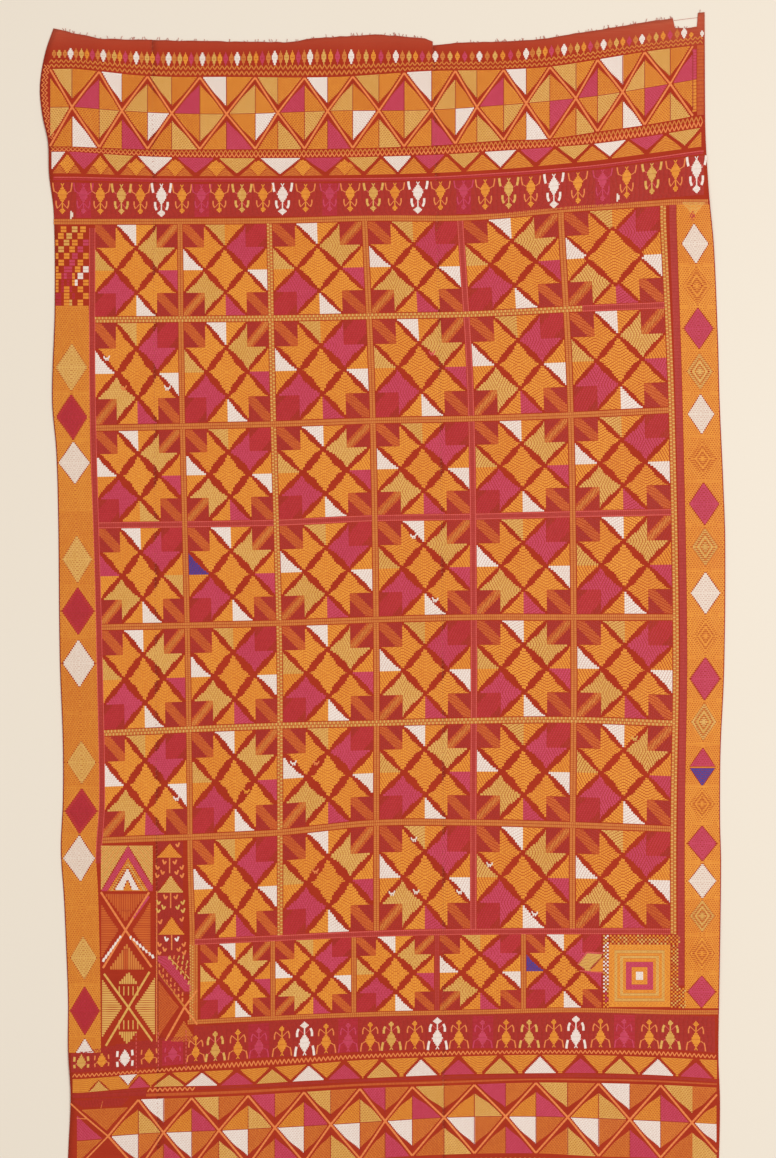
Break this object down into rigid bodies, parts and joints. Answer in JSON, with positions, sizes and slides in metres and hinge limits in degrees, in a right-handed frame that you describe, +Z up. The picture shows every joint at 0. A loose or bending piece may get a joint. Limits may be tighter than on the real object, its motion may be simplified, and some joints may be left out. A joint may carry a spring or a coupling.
{
  "type": "phulkari shawl",
  "caption": "Flat-laid phulkari bagh shawl: madder-red cotton widths seamed lengthwise, covered in geometric silk floss darning.",
  "frame": {"origin": "on the resting plane, under the middle of the shawl's box", "axes": "+X across the shawl to its right-hand long edge, +Y along it to its upper raw end, +Z up through the cloth"},
  "size_m": [1.3364, 2.325, 0.0054],
  "materials": {
    "madder_cotton": "matte",
    "silk_floss": "satin"
  },
  "bodies": {
    "root": {"width_left": "madder_cotton", "width_middle": "madder_cotton", "width_right": "madder_cotton"}
  },
  "joints": []
}
